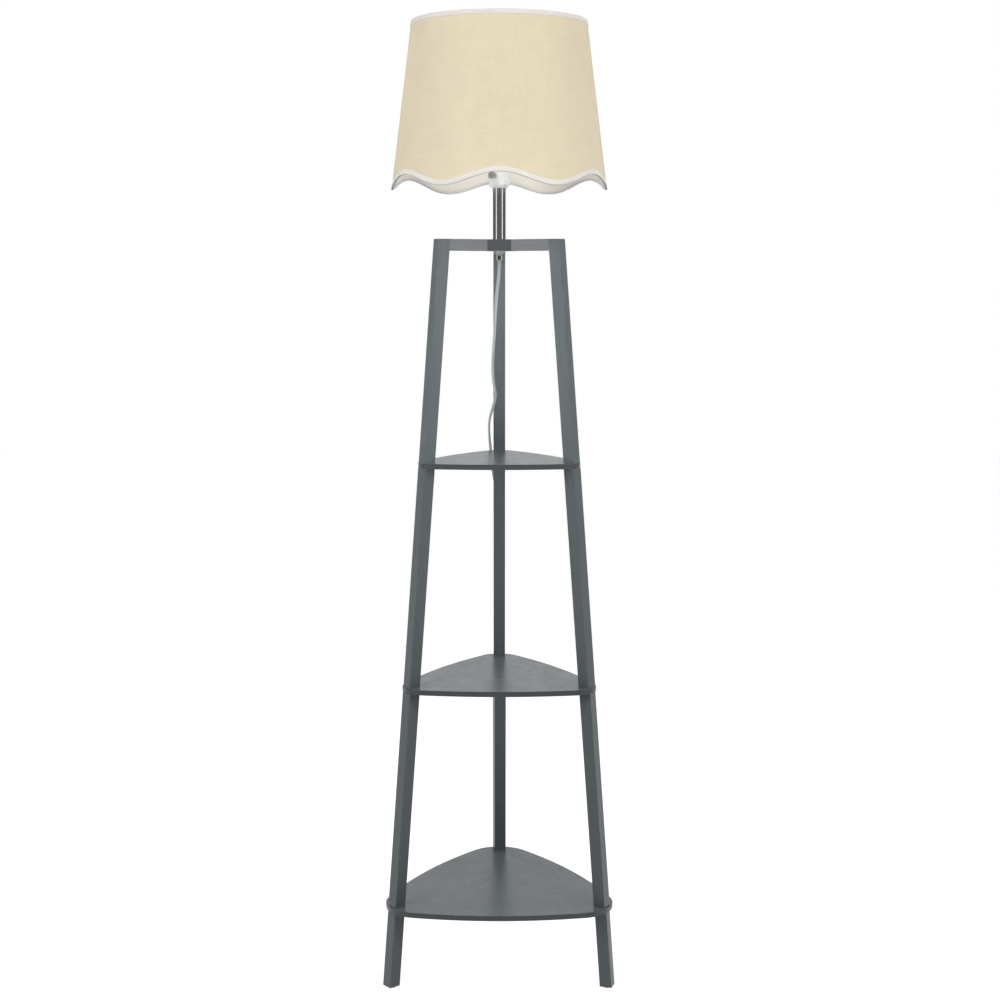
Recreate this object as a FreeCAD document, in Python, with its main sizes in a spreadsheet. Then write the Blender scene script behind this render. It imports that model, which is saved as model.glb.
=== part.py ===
import FreeCAD, Part
import Sketcher
import math
import os

from FreeCAD import Placement, Rotation, Vector

# Shelf floor lamp: three leaning square legs, each of four sections clamped on three
# bow-sided shelves, joined at the top by three arms to a hub that carries the stem,
# the lampholder and a round shade with a waved hem.
# Millimetres, +Z up, the rear leg towards +Y. The origin is on the floor, under the stem.

SIZES = {
    # legs
    "leg_width": 20.5,
    "leg_edge": 0.7,
    "leg_top_height": 1247,
    "foot_reach": 210,
    "top_reach": 107.5,
    "twist_left_top": -1.5,
    "twist_left_upper": 3,
    "twist_left_lower": 9,
    "twist_left_foot": 9,
    "twist_right_top": 0.5,
    "twist_right_upper": 7,
    "twist_right_lower": -2,
    "twist_right_foot": -11,
    "twist_rear_top": 0,
    "twist_rear_upper": 0,
    "twist_rear_lower": 10,
    "twist_rear_foot": 20,
    "pad_radius": 8,
    "pad_thickness": 2,
    # shelves: height of the upper face, how far each side's middle lies outside the line
    # between two legs' axes, radius of each bowed side and of each corner
    "shelf_thickness": 8.8,
    "shelf_edge": 0.7,
    "shelf_high_height": 882.7,
    "shelf_high_margin": 32.1,
    "shelf_high_bow": 542,
    "shelf_high_corner": 32,
    "shelf_middle_height": 510,
    "shelf_middle_margin": 36.2,
    "shelf_middle_bow": 713,
    "shelf_middle_corner": 36.6,
    "shelf_low_height": 138.8,
    "shelf_low_margin": 50,
    "shelf_low_bow": 702,
    "shelf_low_corner": 60,
    # studs that join the leg sections through the shelves
    "stud_radius": 4,
    "stud_length": 52,
    "stud_end_gap": 1,
    "shelf_hole_gap": 0.25,
    "insert_radius": 5.5,
    "insert_length": 18,
    "insert_recess": 1.5,
    # hub and arms
    "arm_width": 19,
    "arm_height": 19,
    "arm_edge": 0.7,
    "hub_face": 39,
    "hub_hole_gap": 0.3,
    "dowel_radius": 4,
    "dowel_length": 28,
    "dowel_depth": 12,
    "dowel_end_gap": 0.5,
    # stem
    "tube_radius": 10.75,
    "tube_wall": 1.2,
    "tube_length": 83.7,
    "rod_radius": 5,
    "rod_bore": 3.9,
    "rod_below": 7,
    "rod_above": 6,
    "rod_gap": 0.15,
    "washer_radius": 8.2,
    "washer_thickness": 1.4,
    "nut_across": 14,
    "nut_thickness": 4,
    "grip_radius": 4.85,
    "grip_length": 8.2,
    "grip_spigot": 8,
    "grip_wall": 0.8,
    "wedge_width": 3.6,
    "wedge_height": 6,
    "wedge_proud": 0.5,
    # lampholder
    "holder_radius": 17.7,
    "holder_wall": 2.2,
    "cap_height": 13.3,
    "cap_shoulder": 8,
    "cap_foot_radius": 11.9,
    "cap_floor": 4,
    "cap_bulge": 9,
    "cap_wall": 3,
    "body_height": 31.5,
    "neck_radius": 16.4,
    "neck_height": 24.5,
    "block_height": 27,
    "block_gap": 0.15,
    "shell_radius": 14,
    "shell_wall": 0.45,
    "shell_height": 26,
    "shell_gap": 0.2,
    "contact_radius": 3.5,
    "contact_height": 2.2,
    "set_screw_radius": 1.5,
    "set_screw_length": 10,
    "set_screw_angle": 305,
    "set_screw_height": 4.2,
    "terminal_radius": 1.9,
    "terminal_length": 7,
    "terminal_head": 3,
    "terminal_head_height": 2,
    "terminal_place": 9,
    # turn knob
    "knob_angle": 242,
    "knob_height": 19.8,
    "knob_reach": 28.2,
    "knob_head": 6,
    "knob_head_length": 4.6,
    "knob_neck": 3.7,
    "knob_neck_start": 16,
    "knob_gap": 0.4,
    "knob_edge": 0.8,
    "knob_shaft": 2,
    "shaft_gap": 0.08,
    "knob_shaft_start": 4.5,
    "cam_radius": 5,
    "cam_length": 4,
    "cam_room": 0.6,
    # bulb
    "bulb_cap_radius": 13.2,
    "bulb_cap_height": 22,
    "bulb_cap_wall": 0.4,
    "bulb_globe_radius": 30,
    "bulb_globe_centre": 54,
    "bulb_globe_wall": 1.2,
    "bulb_collar_radius": 15.5,
    "bulb_collar_height": 14,
    "bulb_shoulder_angle": 28,
    "bulb_seat": 5,
    "bulb_tip_radius": 4.5,
    "bulb_tip_height": 1.5,
    "bulb_board_radius": 12,
    "bulb_board_thickness": 1.6,
    # shade: the cloth's outer face is a cone between its upper rim and the wave's low points,
    # which hang by the drop below the fitter
    "shade_height": 270,
    "shade_top_radius": 143.7,
    "shade_drop": 47.5,
    "shade_low_radius": 177.4,
    "shade_cloth": 1,
    "shade_lining": 0.6,
    "lining_gap": 0.02,
    "wave_height": 10,
    "trim_thickness": 0.8,
    "trim_gap": 0.05,
    "trim_low_width": 8.3,
    "trim_top_width": 6.8,
    "wire_radius": 2,
    "wire_gap": 0.1,
    "spoke_radius": 1.6,
    "top_wire_drop": 4.5,
    "low_wire_rise": 46,
    "fitter_thickness": 1.6,
    "fitter_radius": 22,
    "fitter_gap": 0.2,
    "ring_nut_radius": 21.2,
    "ring_nut_height": 8,
    # cord, its clips on the rear leg, its put-away coil and its plug
    "cord_width": 5.6,
    "cord_clear": 0.05,
    "clip_width": 13,
    "clip_height": 26,
    "clip_plate": 2,
    "clip_ring_bore": 6,
    "clip_ring_wall": 1.8,
    "clip_ring_height": 8,
    "clip_sink": 1,
    "clip_screw_radius": 1.4,
    "clip_screw_depth": 8,
    "clip_screw_head": 2.6,
    "clip_screw_head_height": 1.2,
    "clip_screw_place": 9,
    "coil_radius": 31,
    "coil_columns": 2,
    "coil_rows": 3,
    "plug_length": 34,
    "plug_width": 22,
    "plug_thickness": 14,
    "plug_edge": 3,
    "plug_tail_length": 11,
    "plug_tail_wide": 5.2,
    "plug_tail_narrow": 3.5,
    "plug_aside": 26,
    "plug_forward": 14,
    "plug_angle": 20,
    "blade_length": 17.5,
    "blade_width": 6.35,
    "blade_thickness": 1.5,
    "blade_pitch": 12.7,
}

LEGS = {"left": 210, "right": 330, "rear": 90}
SECTIONS = ("top", "upper", "lower", "foot")
SHELVES = ("high", "middle", "low")
WAVES = 6
WAVE_SAMPLES = 12
FRONT = 270
CLIP_HEIGHTS = {"upper": (790, 590), "lower": (330,)}

# The cord's route from the grip to the coil: points chosen by eye along the visible cord,
# then down behind the rear leg through its clips and along the floor.
CORD_ROUTE = (
    (0, 0, 1212.8),
    (0, 0, 1192),
    (-3.8, 3, 1163),
    (-6.2, 10, 1131),
    (-7.4, 21, 1098),
    (-10, 36, 1064),
    (-11.8, 53, 1031),
    (-9.6, 70, 1003),
    (-5.2, 82, 984),
    (-10.5, 97, 963),
    (-18, 117, 938),
    (-18.2, 139, 914),
    (-15.5, 155, 885),
    (-12.8, 161, 850),
    (-6, 162.5, 818),
    (-0.5, 164.3, 787),
    (0.6, 168.5, 735),
    (1.2, 174, 665),
    (0.4, 180.6, 587),
    (0.8, 189.5, 510),
    (-1.4, 196.5, 425),
    (-3.6, 202, 340),
    (-3.2, 210.5, 262),
    (-1.4, 217.5, 185),
    (0.6, 224, 120),
    (1.2, 227.5, 74),
    (0.9, 230.5, 44),
    (0.6, 238, 20),
    (0.3, 252, 6),
    (0, 273, 2.8),
    (0.2, 294, 2.8),
    (0, 314, 2.8),
)

doc = FreeCAD.newDocument("shelf_floor_lamp")
sheet = doc.addObject("Spreadsheet::Sheet", "sizes")
for row, (alias, number) in enumerate(SIZES.items(), 1):
    sheet.set(f"A{row}", alias)
    sheet.set(f"B{row}", str(number))
    sheet.setAlias(f"B{row}", alias)
doc.recompute()


class Size:
    """A number together with the sheet expression that gives it."""

    def __init__(self, value, text):
        self.value = value
        self.text = text

    def __add__(self, other):
        other = as_size(other)
        return Size(self.value + other.value, f"({self.text} + {other.text})")

    def __sub__(self, other):
        other = as_size(other)
        return Size(self.value - other.value, f"({self.text} - {other.text})")

    def __mul__(self, other):
        other = as_size(other)
        return Size(self.value * other.value, f"({self.text} * {other.text})")

    def __truediv__(self, other):
        other = as_size(other)
        return Size(self.value / other.value, f"({self.text} / {other.text})")

    def __radd__(self, other):
        return as_size(other) + self

    def __rsub__(self, other):
        return as_size(other) - self

    def __rmul__(self, other):
        return as_size(other) * self


def as_size(number):
    return number if isinstance(number, Size) else Size(number, repr(number))


class Sheet:
    """Every named size of the sheet, as an attribute."""

    def __getattr__(self, alias):
        return Size(float(sheet.get(alias)), f"sizes.{alias}")


s = Sheet()
pieces = []


def bind(thing, **expressions):
    """Ties properties to the sheet; a double underscore stands for a dot."""
    for name, size in expressions.items():
        thing.setExpression(name.replace("__", "."), as_size(size).text)
    return thing


def piece(thing, label):
    """Marks an object as a piece of the lamp, kept under its own name."""
    thing.Label = label
    pieces.append(thing)
    return thing


def raise_to(thing, height):
    return bind(thing, Placement__Base__z=height)


def cylinder(name, radius, height):
    return bind(doc.addObject("Part::Cylinder", name), Radius=radius, Height=height)


def box(name, length, width, height):
    return bind(doc.addObject("Part::Box", name), Length=length, Width=width, Height=height)


def cone(name, low_radius, high_radius, height):
    thing = doc.addObject("Part::Cone", name)
    return bind(thing, Radius1=low_radius, Radius2=high_radius, Height=height)


def torus(name, ring_radius, wire_radius):
    return bind(doc.addObject("Part::Torus", name), Radius1=ring_radius, Radius2=wire_radius)


def placed(thing, placement):
    thing.Placement = placement
    return thing


def cut(name, base, *tools):
    """The base without the tools."""
    thing = doc.addObject("Part::Cut", name)
    thing.Base = base
    thing.Tool = tools[0] if len(tools) == 1 else fuse(name + "_tools", *tools)
    return thing


def fuse(name, *shapes):
    thing = doc.addObject("Part::MultiFuse", name)
    thing.Shapes = list(shapes)
    return thing


def common(name, *shapes):
    thing = doc.addObject("Part::MultiCommon", name)
    thing.Shapes = list(shapes)
    return thing


def group(name, things):
    """Separate solids kept as one piece."""
    thing = doc.addObject("Part::Compound", name)
    thing.Links = list(things)
    return thing


def rounded(name, base, radius, wanted):
    """The base with a fillet on each edge that wanted accepts."""
    doc.recompute()
    thing = doc.addObject("Part::Fillet", name)
    thing.Base = base
    edges = enumerate(base.Shape.Edges, 1)
    thing.Edges = [(number, radius.value, radius.value) for number, edge in edges if wanted(edge)]
    return thing


def pipe(name, outer, inner, height):
    """A tube that stands on its frame's origin."""
    bore = cylinder(name + "_bore", inner, height)
    return cut(name, cylinder(name + "_outside", outer, height), bore)


def is_upright(edge):
    ends = [vertex.Point for vertex in edge.Vertexes]
    return len(ends) == 2 and abs((ends[0] - ends[1]).z) > 0.9 * edge.Length


def origin_plane(body, role):
    for feature in body.Origin.OriginFeatures:
        if feature.Role == role:
            return feature


def new_sketch(body, name, plane):
    sketch = body.newObject("Sketcher::SketchObject", name)
    sketch.AttachmentSupport = (origin_plane(body, plane), [""])
    sketch.MapMode = "FlatFace"
    return sketch


def dimension(sketch, kind, target, size):
    """Adds one driving dimension and ties it to the sheet."""
    number = sketch.addConstraint(Sketcher.Constraint(kind, *target, size.value))
    sketch.setExpression(f"Constraints[{number}]", size.text)


def draw_outline(sketch, points, arcs):
    """A closed outline through the points. arcs gives the radius of the edge that starts at a
    point, positive where it bulges to the right of its direction."""
    corners = [Vector(x.value, y.value, 0) for x, y in points]
    for index, start in enumerate(corners):
        end = corners[(index + 1) % len(corners)]
        if index in arcs:
            sketch.addGeometry(arc_between(start, end, arcs[index].value))
        else:
            sketch.addGeometry(Part.LineSegment(start, end))
    for index in range(len(corners)):
        following = (index + 1) % len(corners)
        last = 2 if index not in arcs or arcs[index].value > 0 else 1
        first = 1 if following not in arcs or arcs[following].value > 0 else 2
        sketch.addConstraint(Sketcher.Constraint("Coincident", index, last, following, first))
    for index, (x, y) in enumerate(points):
        start = 1 if index not in arcs or arcs[index].value > 0 else 2
        if x.value == 0:
            sketch.addConstraint(Sketcher.Constraint("PointOnObject", index, start, -2))
        else:
            dimension(sketch, "DistanceX", (-1, 1, index, start), x)
        dimension(sketch, "DistanceY", (-1, 1, index, start), y)
    for index, radius in arcs.items():
        size = radius if radius.value > 0 else 0 - radius
        dimension(sketch, "Radius", (index,), size)


def arc_between(start, end, radius):
    """The short arc from start to end; it turns left for a positive radius."""
    chord = end - start
    half = chord.Length / 2
    side = Vector(chord.y, -chord.x, 0).normalize()
    rise = abs(radius) - math.sqrt(radius * radius - half * half)
    middle = (start + end) * 0.5 + side * math.copysign(rise, radius)
    return Part.Arc(start, middle, end)


def turned(name, points, arcs=None):
    """A body turned about the vertical axis from an outline of (radius, height) points."""
    body = doc.addObject("PartDesign::Body", name)
    sketch = new_sketch(body, name + "_outline", "XZ_Plane")
    draw_outline(sketch, points, arcs or {})
    turn = body.newObject("PartDesign::Revolution", name + "_turn")
    turn.Profile = sketch
    turn.ReferenceAxis = (sketch, ["V_Axis"])
    turn.Angle = 360
    doc.recompute()
    return body


def direction(angle):
    return Vector(math.cos(math.radians(angle)), math.sin(math.radians(angle)), 0)


def spoke_frame(angle, height, distance=0.0):
    """A frame whose Z points outward from the stem's axis."""
    turn = Rotation(Vector(0, 0, 1), angle) * Rotation(Vector(0, 1, 0), 90)
    return Placement(direction(angle) * distance + Vector(0, 0, height), turn)


# The leg's axis

LEAN = math.degrees(math.atan((s.foot_reach - s.top_reach).value / s.leg_top_height.value))


def reach(height):
    """The distance of a leg's axis from the stem's axis at a height."""
    height = as_size(height)
    return s.foot_reach - (s.foot_reach - s.top_reach) * height / s.leg_top_height


def leg_frame(angle, height, twist=0.0, offset=Vector()):
    """A frame on a leg's axis: Z runs up the leg and X faces outward, turned by the twist."""
    height = as_size(height)
    point = direction(angle) * reach(height).value + Vector(0, 0, height.value)
    turn = Rotation(Vector(0, 0, 1), angle) * Rotation(Vector(0, 1, 0), -LEAN)
    turn = turn * Rotation(Vector(0, 0, 1), twist)
    return Placement(point, turn) * Placement(offset, Rotation())


def section_twist(leg, section):
    """The turn of a section about its own axis, seen from above."""
    twist = getattr(s, f"twist_{leg}_{section}")
    return 0 - twist if leg == "right" else twist


def shelf_height(shelf):
    return getattr(s, f"shelf_{shelf}_height")


def shelf_middle(shelf):
    return shelf_height(shelf) - s.shelf_thickness / 2


# Studs, inserts and the bores that they sit in


def stud_cylinder(name, leg, shelf, radius, length):
    """A cylinder on the leg's axis, centred on the shelf's thickness."""
    thing = cylinder(name, radius, length)
    offset = Vector(0, 0, -length.value / 2)
    return placed(thing, leg_frame(LEGS[leg], shelf_middle(shelf), 0, offset))


def insert_foot():
    return s.shelf_thickness / 2 + s.insert_recess


def insert_sleeve(leg, shelf):
    offset = Vector(0, 0, insert_foot().value)
    name = f"insert_{leg}_{shelf}"
    sleeve = pipe(name, s.insert_radius, s.stud_radius, s.insert_length)
    return placed(sleeve, leg_frame(LEGS[leg], shelf_middle(shelf), 0, offset))


def make_joints():
    """The studs and inserts of every leg at every shelf, with the bores for them."""
    studs = []
    inserts = []
    bores = {}
    for leg in LEGS:
        for shelf in SHELVES:
            mark = f"{leg}_{shelf}"
            studs.append(stud_cylinder(f"stud_{mark}", leg, shelf, s.stud_radius, s.stud_length))
            inserts.append(insert_sleeve(leg, shelf))
            bore_length = s.stud_length + s.stud_end_gap * 2
            stud_bore = stud_cylinder(f"bore_{mark}", leg, shelf, s.stud_radius, bore_length)
            insert_bore = cylinder(f"socket_{mark}", s.insert_radius, insert_foot() + s.insert_length)
            placed(insert_bore, leg_frame(LEGS[leg], shelf_middle(shelf)))
            hole_radius = s.stud_radius + s.shelf_hole_gap
            hole = stud_cylinder(f"hole_{mark}", leg, shelf, hole_radius, s.shelf_thickness * 3)
            bores[leg, shelf] = (stud_bore, insert_bore, hole)
    piece(group("joint_studs", studs), "joint_studs")
    piece(group("joint_inserts", inserts), "joint_inserts")
    return bores


# Legs


def leg_stick(name, leg, section, low, high):
    """A square stick that leans with the leg, cut level at both ends."""
    body = doc.addObject("PartDesign::Body", name)
    sketch = new_sketch(body, name + "_outline", "XY_Plane")
    half = s.leg_width / 2
    draw_outline(sketch, square_corners(half), {})
    twist = section_twist(leg, section)
    sketch.AttachmentOffset = Placement(Vector(), Rotation(Vector(0, 0, 1), twist.value))
    bind(sketch, AttachmentOffset__Base__x=reach(low), AttachmentOffset__Base__z=low)
    pad = body.newObject("PartDesign::Pad", name + "_pad")
    pad.Profile = sketch
    pad.UseCustomVector = True
    pad.AlongSketchNormal = True
    slope = (s.foot_reach - s.top_reach).value / s.leg_top_height.value
    pad.Direction = Vector(-slope, 0, 1)
    bind(pad, Length=high - low)
    doc.recompute()
    fillet = body.newObject("PartDesign::Fillet", name + "_edges")
    edges = enumerate(pad.Shape.Edges, 1)
    fillet.Base = (pad, [f"Edge{number}" for number, edge in edges if is_upright(edge)])
    bind(fillet, Radius=s.leg_edge)
    body.Tip = fillet
    body.Placement = Placement(Vector(), Rotation(Vector(0, 0, 1), LEGS[leg]))
    return body


def square_corners(half):
    low = 0 - half
    return [(low, low), (half, low), (half, half), (low, half)]


def section_ends(section):
    """The lower and upper end of a leg section."""
    place = SECTIONS.index(section)
    high = s.leg_top_height if place == 0 else shelf_height(SHELVES[place - 1]) - s.shelf_thickness
    low = s.pad_thickness if section == "foot" else shelf_height(SHELVES[place])
    return low, high


def make_legs(bores, dowel_bores, clip_bores):
    for leg in LEGS:
        for section in SECTIONS:
            name = f"leg_{leg}_{section}"
            place = SECTIONS.index(section)
            stick = leg_stick(name + "_stick", leg, section, *section_ends(section))
            tools = list(clip_bores.get((leg, section), []))
            if section == "top":
                tools.append(dowel_bores[leg])
            else:
                tools.append(bores[leg, SHELVES[place - 1]][0])
            if section != "foot":
                tools += bores[leg, SHELVES[place]][:2]
            piece(cut(name, stick, *tools), name)


def make_foot_pads():
    pads = []
    for leg, angle in LEGS.items():
        pad = cylinder(f"foot_pad_{leg}", s.pad_radius, s.pad_thickness)
        centre = direction(angle) * reach(s.pad_thickness).value
        pads.append(placed(pad, Placement(centre, Rotation())))
    piece(group("foot_pads", pads), "foot_pads")


# Shelves


def make_shelf(shelf, bores):
    """Three bowed sides that meet in rounded corners over the legs."""
    side = reach(shelf_middle(shelf)) / 2 + getattr(s, f"shelf_{shelf}_margin")
    bow = getattr(s, f"shelf_{shelf}_bow")
    corner = getattr(s, f"shelf_{shelf}_corner")
    low = shelf_height(shelf) - s.shelf_thickness
    discs = []
    for number, angle in enumerate(LEGS.values()):
        disc = cylinder(f"shelf_{shelf}_side_{number}", bow, s.shelf_thickness)
        centre = direction(angle) * (bow - side).value + Vector(0, 0, low.value)
        discs.append(placed(disc, Placement(centre, Rotation())))
    blank = common(f"shelf_{shelf}_blank", *discs)
    outline = rounded(f"shelf_{shelf}_corners", blank, corner, is_upright)
    board = rounded(f"shelf_{shelf}_board", outline, s.shelf_edge, lambda edge: not is_upright(edge))
    holes = [bores[leg, shelf][2] for leg in LEGS]
    piece(cut(f"shelf_{shelf}", board, *holes), f"shelf_{shelf}")


# Hub and arms


def hub_apothem(face, next_face):
    """The distance from the hub's axis to a face of its six-sided outline."""
    return (face + next_face * 2) / (2 * math.sqrt(3))


def arm_start():
    return hub_apothem(s.arm_width, s.hub_face)


def arm_low():
    return s.leg_top_height - s.arm_height


def arm_axis_height():
    return s.leg_top_height - s.arm_height / 2


def leg_inner_face():
    """The distance of a leg's inner face from the stem's axis at the arms' middle height."""
    return reach(arm_axis_height()) - s.leg_width / 2


def dowel(name, angle, seam, inward, radius, end_gap):
    """A dowel across the seam at that distance from the stem's axis."""
    thing = cylinder(name, radius, s.dowel_length + end_gap * 2)
    start = seam - inward - end_gap
    return placed(thing, spoke_frame(angle, arm_axis_height().value, start.value))


def make_arms():
    """The three arms with their dowels. Returns the dowels' bores in the hub and the legs."""
    dowels = []
    hub_bores = []
    leg_bores = {}
    arm_inward = s.dowel_length - s.dowel_depth
    for leg, angle in LEGS.items():
        seams = (("hub", arm_start(), s.dowel_depth), ("leg", leg_inner_face(), arm_inward))
        bores = []
        for end, seam, inward in seams:
            dowels.append(dowel(f"dowel_{leg}_{end}", angle, seam, inward, s.dowel_radius, 0))
            bore_name = f"dowel_bore_{leg}_{end}"
            bores.append(dowel(bore_name, angle, seam, inward, s.dowel_radius, s.dowel_end_gap))
        hub_bores.append(bores[0])
        leg_bores[leg] = bores[1]
        length = reach(arm_axis_height()) - arm_start()
        bar = box(f"arm_{leg}_bar", length, s.arm_width, s.arm_height)
        corner = Vector(arm_start().value, -s.arm_width.value / 2, arm_low().value)
        turn = Placement(Vector(), Rotation(Vector(0, 0, 1), angle))
        placed(bar, turn * Placement(corner, Rotation()))
        along = direction(angle)
        soft_bar = rounded(f"arm_{leg}_soft_bar", bar, s.arm_edge, lambda edge: runs_along(edge, along))
        stick = leg_stick(f"arm_{leg}_stop", leg, "top", *section_ends("top"))
        piece(cut(f"arm_{leg}", soft_bar, stick, *bores), f"arm_{leg}")
    piece(group("arm_dowels", dowels), "arm_dowels")
    return hub_bores, leg_bores


def runs_along(edge, along):
    ends = [vertex.Point for vertex in edge.Vertexes]
    return abs((ends[1] - ends[0]).dot(along)) > 0.9 * edge.Length


def triangle_prism(name, apothem, angle):
    """An upright three-sided prism; a corner of it points along the angle."""
    prism = bind(doc.addObject("Part::Prism", name), Circumradius=apothem * 2, Height=s.arm_height)
    prism.Polygon = 3
    place = Vector(0, 0, arm_low().value)
    return placed(prism, Placement(place, Rotation(Vector(0, 0, 1), angle)))


def make_hub(hub_bores):
    free_faces = triangle_prism("hub_free_faces", hub_apothem(s.hub_face, s.arm_width), FRONT + 180)
    arm_faces = triangle_prism("hub_arm_faces", arm_start(), FRONT)
    block = common("hub_block", free_faces, arm_faces)
    rod_hole = cylinder("hub_rod_hole", s.rod_radius + s.hub_hole_gap, s.arm_height)
    raise_to(rod_hole, arm_low())
    piece(cut("hub", block, rod_hole, *hub_bores), "hub")


# Stem

HUB_TOP = s.leg_top_height
TUBE_TOP = HUB_TOP + s.tube_length
NUT_TOP = arm_low() - s.washer_thickness
NUT_LOW = NUT_TOP - s.nut_thickness
GRIP_LOW = arm_low() - s.rod_below - s.grip_length


def make_stem():
    tube = pipe("stem_tube", s.tube_radius, s.tube_radius - s.tube_wall, s.tube_length)
    piece(raise_to(tube, HUB_TOP), "stem_tube")
    rod_length = s.rod_below + s.arm_height + s.tube_length + s.rod_above
    rod = pipe("stem_rod", s.rod_radius, s.rod_bore, rod_length)
    piece(raise_to(rod, arm_low() - s.rod_below), "stem_rod")
    hole = s.rod_radius + s.rod_gap
    washer = pipe("stem_washer", s.washer_radius, hole, s.washer_thickness)
    piece(raise_to(washer, NUT_TOP), "stem_washer")
    blank = doc.addObject("Part::Prism", "stem_nut_blank")
    blank.Polygon = 6
    bind(blank, Circumradius=s.nut_across / math.sqrt(3), Height=s.nut_thickness)
    nut = cut("stem_nut", blank, cylinder("stem_nut_bore", s.rod_radius, s.nut_thickness))
    piece(raise_to(nut, NUT_LOW), "stem_nut")


def make_grip():
    """The cord grip: its spigot sits in the rod and a wedge in its front holds the cord."""
    spigot = s.cord_width / 2 + s.grip_wall
    shank = cylinder("cord_grip_shank", s.grip_radius, s.grip_length)
    neck = cylinder("cord_grip_neck", spigot, s.grip_length + s.grip_spigot)
    bore_radius = s.cord_width / 2 + s.cord_clear
    bore = cylinder("cord_grip_bore", bore_radius, s.grip_length + s.grip_spigot)
    outside = fuse("cord_grip_outside", shank, neck)
    depth = s.grip_radius + s.wedge_proud - bore_radius
    wedge = box("grip_wedge", s.wedge_width, depth, s.wedge_height)
    foot = (s.grip_length - s.wedge_height) / 2
    corner = Vector(-s.wedge_width.value / 2, -(bore_radius + depth).value, foot.value)
    placed(wedge, Placement(corner, Rotation()))
    bind(wedge, Placement__Base__z=GRIP_LOW + foot)
    hollow = box("grip_wedge_slot", s.wedge_width, depth, s.wedge_height)
    placed(hollow, Placement(corner, Rotation()))
    grip = cut("cord_grip", outside, bore, hollow)
    piece(raise_to(grip, GRIP_LOW), "cord_grip")
    piece(wedge, "grip_wedge")


# Lampholder

CAP_TOP = TUBE_TOP + s.cap_height
BODY_TOP = CAP_TOP + s.body_height
BLOCK_TOP = CAP_TOP + s.block_height
NECK_TOP = BODY_TOP + s.neck_height
KNOB_AXIS = TUBE_TOP + s.knob_height


def make_holder_cap():
    """The cup that clamps on the rod, with a domed foot on the tube."""
    hole = s.rod_radius + s.rod_gap
    inside = s.holder_radius - s.cap_wall
    shoulder = TUBE_TOP + s.cap_shoulder
    floor = TUBE_TOP + s.cap_floor
    outline = [
        (hole, TUBE_TOP),
        (s.cap_foot_radius, TUBE_TOP),
        (s.holder_radius, shoulder),
        (s.holder_radius, CAP_TOP),
        (inside, CAP_TOP),
        (inside, shoulder),
        (s.cap_foot_radius - s.cap_wall, floor),
        (hole, floor),
    ]
    blank = turned("holder_cap_blank", outline, {1: s.cap_bulge})
    bore = cylinder("cap_screw_bore", s.set_screw_radius, s.holder_radius)
    height = (TUBE_TOP + s.set_screw_height).value
    placed(bore, spoke_frame(s.set_screw_angle.value, height, s.rod_radius.value))
    piece(cut("holder_cap", blank, bore), "holder_cap")
    screw = cylinder("cap_screw", s.set_screw_radius, s.set_screw_length)
    placed(screw, spoke_frame(s.set_screw_angle.value, height, s.rod_radius.value))
    piece(screw, "cap_screw")


def knob_frame(distance):
    return spoke_frame(s.knob_angle.value, KNOB_AXIS.value, as_size(distance).value)


def knob_cylinder(name, radius, start, length):
    return placed(cylinder(name, radius, length), knob_frame(start))


def make_holder_body():
    inside = s.holder_radius - s.holder_wall
    neck_inside = s.shell_radius + s.shell_gap
    outline = [
        (inside, CAP_TOP),
        (s.holder_radius, CAP_TOP),
        (s.holder_radius, BODY_TOP),
        (s.neck_radius, BODY_TOP),
        (s.neck_radius, NECK_TOP),
        (neck_inside, NECK_TOP),
        (neck_inside, BLOCK_TOP + s.block_gap),
        (inside, BLOCK_TOP + s.block_gap),
    ]
    blank = turned("holder_body_blank", outline)
    hole = knob_cylinder("knob_hole", s.knob_neck + s.knob_gap, s.knob_shaft_start, s.holder_radius)
    piece(cut("holder_body", blank, hole), "holder_body")


def make_switch():
    """The insulating block, its screw shell, its contacts and its terminals."""
    radius = s.holder_radius - s.holder_wall - s.block_gap
    block = raise_to(cylinder("switch_block_blank", radius, s.block_height), CAP_TOP)
    room_start = s.knob_shaft_start - s.cam_room
    room_length = s.cam_length + s.cam_room * 2
    cam_room = knob_cylinder("cam_hollow", s.cam_radius + s.cam_room, room_start, room_length)
    passage = knob_cylinder("shaft_hole", s.knob_shaft + s.shaft_gap, s.knob_shaft_start, s.holder_radius)
    neck_room = knob_cylinder(
        "neck_hollow", s.knob_neck + s.knob_gap, s.knob_neck_start - s.knob_gap, s.holder_radius
    )
    screws = []
    bores = []
    for number, side in enumerate((-1, 1)):
        shank_radius = s.terminal_radius
        place = Vector(side * s.terminal_place.value, 0, CAP_TOP.value)
        shank = cylinder(f"terminal_shank_{number}", shank_radius, s.terminal_length)
        head = cylinder(f"terminal_head_{number}", s.terminal_head, s.terminal_head_height)
        placed(shank, Placement(place, Rotation()))
        placed(head, Placement(place - Vector(0, 0, s.terminal_head_height.value), Rotation()))
        screws.append(fuse(f"terminal_screw_{number}", shank, head))
        bore = cylinder(f"terminal_bore_{number}", shank_radius, s.terminal_length)
        bores.append(placed(bore, Placement(place, Rotation())))
    piece(cut("switch_block", block, cam_room, passage, neck_room, *bores), "switch_block")
    piece(group("terminal_screws", screws), "terminal_screws")
    make_screw_shell()
    contact = cylinder("centre_contact", s.contact_radius, s.contact_height)
    piece(raise_to(contact, BLOCK_TOP), "centre_contact")


def make_screw_shell():
    """The thin metal cup that the bulb screws into, open over the centre contact."""
    inside = s.shell_radius - s.shell_wall
    floor = BLOCK_TOP + s.shell_wall
    top = BLOCK_TOP + s.shell_height
    hole = s.contact_radius * 2
    outline = [
        (hole, BLOCK_TOP),
        (s.shell_radius, BLOCK_TOP),
        (s.shell_radius, top),
        (inside, top),
        (inside, floor),
        (hole, floor),
    ]
    piece(turned("screw_shell", outline), "screw_shell")


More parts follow.
